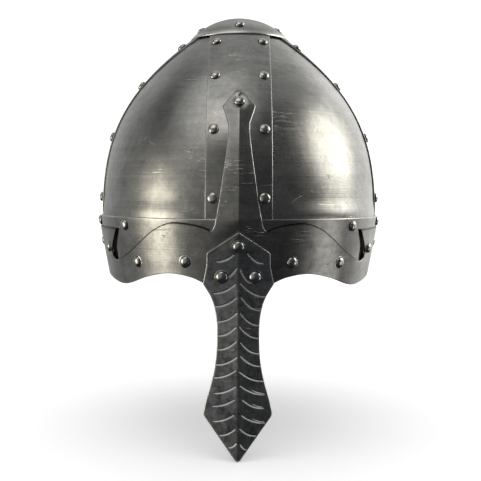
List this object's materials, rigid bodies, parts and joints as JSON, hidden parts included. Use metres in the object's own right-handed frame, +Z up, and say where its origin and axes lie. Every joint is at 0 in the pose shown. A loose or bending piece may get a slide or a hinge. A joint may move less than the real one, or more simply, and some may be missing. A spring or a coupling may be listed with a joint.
{
  "type": "riveted helmet with nose guard",
  "caption": "Riveted steel helmet: pointed dome of plates and bands, round crown cap, brow band with strap slots, arched front plate, long nose guard, leather liner.",
  "frame": {"origin": "middle of the opening for the head, level with the lower edge of the brow band at the sides and the back", "axes": "+Z up through the crown; the wearer faces -Y; +X is the wearer's left"},
  "size_m": [0.2104, 0.2465, 0.306],
  "materials": {
    "dome_steel": "dark antiqued, fine level brushing, worn bright at the edges",
    "band_steel": "dark antiqued, satin",
    "cap_steel": "dark antiqued, satin, bright rim",
    "plate_steel": "dark antiqued, satin, bright edges",
    "nasal_steel": "blackened, chased strokes, bright edges",
    "rivet_steel": "polished domes, dark at the foot",
    "liner_leather": "smooth vegetable-tanned leather, waxed",
    "disc_leather": "smooth vegetable-tanned leather, darker"
  },
  "bodies": {
    "root": {"dome_plate_front_left": "dome_steel", "dome_plate_front_right": "dome_steel", "dome_plate_rear_left": "dome_steel", "dome_plate_rear_right": "dome_steel", "front_band": "band_steel", "front_band_rivets": "rivet_steel", "left_band": "band_steel", "left_band_rivets": "rivet_steel", "rear_band": "band_steel", "rear_band_rivets": "rivet_steel", "right_band": "band_steel", "right_band_rivets": "rivet_steel", "crown_cap": "cap_steel", "brow_band": "band_steel", "front_plate": "plate_steel", "nasal_guard": "nasal_steel", "crown_cap_rivets": "rivet_steel", "brow_band_rivets": "rivet_steel", "front_plate_rivets": "rivet_steel", "front_petal_rivets": "rivet_steel", "rim_rivets": "rivet_steel", "blade_rivet": "rivet_steel", "nasal_top_rivet": "rivet_steel", "nasal_low_rivets": "rivet_steel", "liner_headband": "liner_leather", "liner_petal_1": "liner_leather", "liner_petal_2": "liner_leather", "liner_petal_3": "liner_leather", "liner_petal_4": "liner_leather", "liner_petal_5": "liner_leather", "liner_petal_6": "liner_leather", "liner_petal_7": "liner_leather", "liner_petal_8": "liner_leather", "liner_crown_disc": "disc_leather", "liner_crown_rivets": "rivet_steel"}
  },
  "joints": []
}
